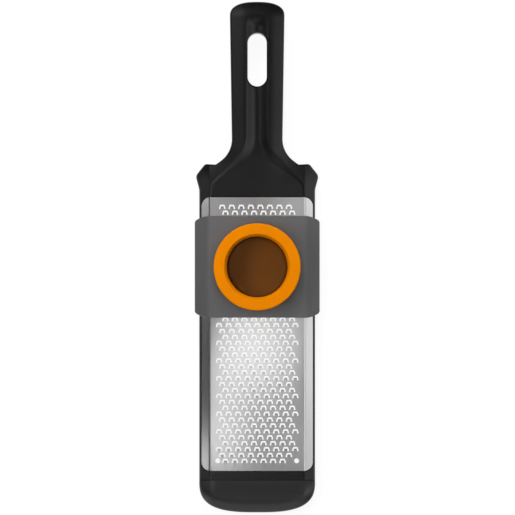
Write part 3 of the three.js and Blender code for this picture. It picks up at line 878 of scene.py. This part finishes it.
def moulded(name, colour, rough, grain, height, sheen=0.5):
    """Moulded plastic: fine grain in the surface and a slow drift in colour and gloss."""
    made, tree, surface = material(name)
    link = tree.links.new
    place = node(tree, "ShaderNodeTexCoord")
    fine = node(tree, "ShaderNodeTexNoise", Scale=grain, Detail=3.0)
    slow = node(tree, "ShaderNodeTexNoise", Scale=30.0, Detail=2.0)
    link(place.outputs["Object"], fine.inputs["Vector"])
    link(place.outputs["Object"], slow.inputs["Vector"])
    gloss = noise_range(tree, slow, rough - GLOSS_DRIFT, rough + GLOSS_DRIFT)
    link(gloss, surface.inputs["Roughness"])
    tint = node(tree, "ShaderNodeMix")
    tint.data_type = "RGBA"
    tint.inputs["A"].default_value = (*[c * (1 - COLOUR_DRIFT) for c in colour], 1)
    tint.inputs["B"].default_value = (*[min(c * (1 + COLOUR_DRIFT), 1) for c in colour], 1)
    link(slow.outputs["Fac"], tint.inputs["Factor"])
    link(tint.outputs["Result"], surface.inputs["Base Color"])
    grain_bump(tree, fine, surface, 1.0, height)
    surface.inputs["Specular IOR Level"].default_value = sheen
    return made


def brushed(name):
    """Steel sheet with a fine brushed grain along its length, and painted shade darkening the tongues'
    tips.
    """
    made, tree, surface = material(name)
    link = tree.links.new
    place = node(tree, "ShaderNodeTexCoord")
    stretch = node(tree, "ShaderNodeMapping", Scale=STEEL_GRAIN)
    link(place.outputs["Object"], stretch.inputs["Vector"])
    grain = node(tree, "ShaderNodeTexNoise", Scale=1.0, Detail=4.0)
    link(stretch.outputs["Vector"], grain.inputs["Vector"])
    link(noise_range(tree, grain, *STEEL_ROUGH), surface.inputs["Roughness"])
    grain_bump(tree, grain, surface, 0.2, 0.01)
    height = node(tree, "ShaderNodeSeparateXYZ")
    link(place.outputs["Object"], height.inputs["Vector"])
    # Painted shade: the colour darkens from the sheet's tone to the tips' tone as the tongues rise.
    tip_shaded_tone = node(
        tree, "ShaderNodeMapRange", From_Min=PLATE_TOP * MM, From_Max=(PLATE_TOP + TOOTH_LIFT) * MM,
        To_Min=STEEL_TONE, To_Max=TIP_SHADED_TONE,
    )
    link(height.outputs["Z"], tip_shaded_tone.inputs["Value"])
    link(tip_shaded_tone.outputs["Result"], surface.inputs["Base Color"])
    surface.inputs["Metallic"].default_value = 1.0
    return made


black = moulded("black_plastic", (0.003, 0.003, 0.0031), 0.34, 4500, 0.003)
rubber = moulded("black_rubber", (0.012, 0.012, 0.012), 0.8, 3000, 0.01)
grey = moulded("grey_plastic", (0.106, 0.108, 0.109), 0.34, 4500, 0.004)
orange = moulded("orange_plastic", (0.88, 0.25, 0.0), 0.5, 4500, 0.003, 0.02)
# The plunger is the collar's orange painted darker: painted shade for the inside of its deep cup.
shaded_orange = moulded("orange_plastic_painted_shade", (0.17, 0.057, 0.006), 0.6, 4500, 0.003, 0.3)
steel = brushed("brushed_steel")

for piece, body, cad_node, slot, finish in (
    (frame_shell, "frame", "frame_handle", "black_plastic", black),
    (back_cover, "frame", "handle_back", "black_plastic", black),
    (plate, "frame", "grating_plate", "steel", steel),
    (nose_shell, "frame", "nose_cap", "black_plastic", black),
    (nose_pad, "frame", "nose_foot", "black_rubber", rubber),
    (guard, "slider", "slide_carriage", "grey_plastic", grey),
    (collar, "pusher", "pusher_collar", "orange_plastic", orange),
    (plunger, "pusher", "pusher_plunger", "orange_plastic", shaded_orange),
):
    piece.data.materials.append(finish)
    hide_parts(cad_node)
    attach(piece, body)

# Floor

FLOOR_HALF = 4e3
FLOOR_COLOUR = (0.15, 0.15, 0.15, 1)
FLOOR_GLOW = 0.9
WHITE = (1, 1, 1, 1)


def floor_material():
    """Pale floor. The camera and reflections see it near white, and the object's shadow stays faint."""
    made, tree, surface = material("floor")
    surface.inputs["Base Color"].default_value = FLOOR_COLOUR
    surface.inputs["Roughness"].default_value = 1.0
    surface.inputs["Specular IOR Level"].default_value = 0.0
    surface.inputs["Emission Color"].default_value = WHITE
    path = node(tree, "ShaderNodeLightPath")
    seen = path.outputs["Is Camera Ray"]
    for ray in ("Is Glossy Ray", "Is Transmission Ray"):
        either = node(tree, "ShaderNodeMath")
        either.operation = "MAXIMUM"
        tree.links.new(seen, either.inputs[0])
        tree.links.new(path.outputs[ray], either.inputs[1])
        seen = either.outputs["Value"]
    glow = node(tree, "ShaderNodeMath")
    glow.operation = "MULTIPLY"
    glow.inputs[1].default_value = FLOOR_GLOW
    tree.links.new(seen, glow.inputs[0])
    tree.links.new(glow.outputs["Value"], surface.inputs["Emission Strength"])
    return made


floor_corners = [(x * FLOOR_HALF, y * FLOOR_HALF, 0) for x, y in ((-1, -1), (1, -1), (1, 1), (-1, 1))]
floor = mesh_object("floor", floor_corners, [[0, 1, 2, 3]])
floor.data.materials.append(floor_material())

# Light, in metres and watts. Far lamps are sized by their height in degrees

LAMP_AIM = (0, 0, 0.015)
LAMP_REACH = 1.3
FAR_SIZES = {14: (0.95, 0.5), 40: (0.8, 0.55), 63: (0.5, 0.4), 90: (0.4, 0.4)}
PLATE_PANEL_SIZE = (0.04, 0.05)
PLATE_PANEL_HEIGHT = 140
WORLD_STRENGTH = 0.03


def softbox(name, place, aim, size, power):
    """An area lamp that the camera doesn't see."""
    lamp = bpy.data.lights.new(name, "AREA")
    lamp.shape = "RECTANGLE"
    lamp.size, lamp.size_y = size
    lamp.energy = power
    obj = bpy.data.objects.new(name, lamp)
    obj.location = place
    obj.rotation_euler = (Vector(aim) - Vector(place)).to_track_quat("-Z", "Y").to_euler()
    obj.visible_camera = False
    bpy.context.scene.collection.objects.link(obj)
    return obj


def far_softbox(name, height, bearing, power):
    """A softbox by its height and its bearing in degrees, bearing 0 on the right."""
    up = math.radians(height)
    round_it = math.radians(bearing)
    way = Vector((math.cos(up) * math.cos(round_it), math.cos(up) * math.sin(round_it), math.sin(up)))
    return softbox(name, LAMP_REACH * way, LAMP_AIM, FAR_SIZES[height], power)


# Soft light for the colours. Gloss mirrors the panels below instead of these
for name, height, bearing, power in (
    ("soft_back", 40, 90, 8.8),
    ("soft_left", 63, 180, 5.0),
    ("soft_top", 90, 90, 5.0),
):
    far_softbox(name, height, bearing, power).visible_glossy = False

# Panels for the reflections, which don't light the colours
panels = [
    far_softbox(f"panel_{height}_{bearing}", height, bearing, power)
    for height, bearing, power in (
        (14, 0, 1.25), (14, 225, 3.8), (14, 270, 2.3), (40, 0, 0.7), (40, 90, 0.8), (40, 270, 0.8),
        (40, 315, 3.0), (63, 0, 1.0), (63, 135, 1.3),
    )
]

# Panels close above the plate, by place in millimetres and power in milliwatts
for x, y, power in (
    (-30, 35, 3), (30, 35, 4), (30, -45, 3.5), (0, -60, 10),
    (-30, -80, 5), (30, -80, 1), (-30, -115, 9), (30, -115, 3),
):
    place = Vector((x, y, PLATE_PANEL_HEIGHT)) * MM
    below = (place.x, place.y, 0)
    panels.append(softbox(f"plate_{x}_{y}", place, below, PLATE_PANEL_SIZE, power * MM))

# Panels for the nose and the sloped flanks
for name, place, aim, size, power in (
    ("nose", (-0.03, -0.2, 0.14), (-0.03, -0.2, 0), (0.17, 0.04), 0.021),
    ("left_flange", (-0.15, -0.135, 0.055), (-0.033, -0.128, 0.013), (0.03, 0.03), 0.0038),
    ("left_side", (-0.3, 0.06, 0.12), (0, 0.05, 0.012), (0.06, 0.08), 0.02),
    ("right_side", (0.3, 0.06, 0.12), (0, 0.05, 0.012), (0.06, 0.08), 0.01),
    ("right_side_low", (0.3, -0.06, 0.12), (0, -0.06, 0.012), (0.08, 0.12), 0.012),
):
    panels.append(softbox(name, place, aim, size, power))

for panel in panels:
    panel.visible_diffuse = False

world = bpy.data.worlds.new("studio")
world.use_nodes = True
background = world.node_tree.nodes["Background"]
background.inputs["Color"].default_value = WHITE
background.inputs["Strength"].default_value = WORLD_STRENGTH
bpy.context.scene.world = world

# Camera straight down from far above, framed like the photo

MM_PER_PIXEL = 0.63
PHOTO_PIXELS = 515
CAMERA_X = 0.0002
CAMERA_HEIGHT = 3.0

camera = bpy.data.cameras.new("camera")
camera.sensor_width = 36.0
photo_width = PHOTO_PIXELS * MM_PER_PIXEL * MM
camera.lens = camera.sensor_width * (CAMERA_HEIGHT - PLATE_TOP * MM) / photo_width
camera.clip_end = 20
view = bpy.data.objects.new("camera", camera)
view.location = (CAMERA_X, 0, CAMERA_HEIGHT)
bpy.context.scene.collection.objects.link(view)
bpy.context.scene.camera = view
bpy.context.scene.view_settings.view_transform = "Standard"
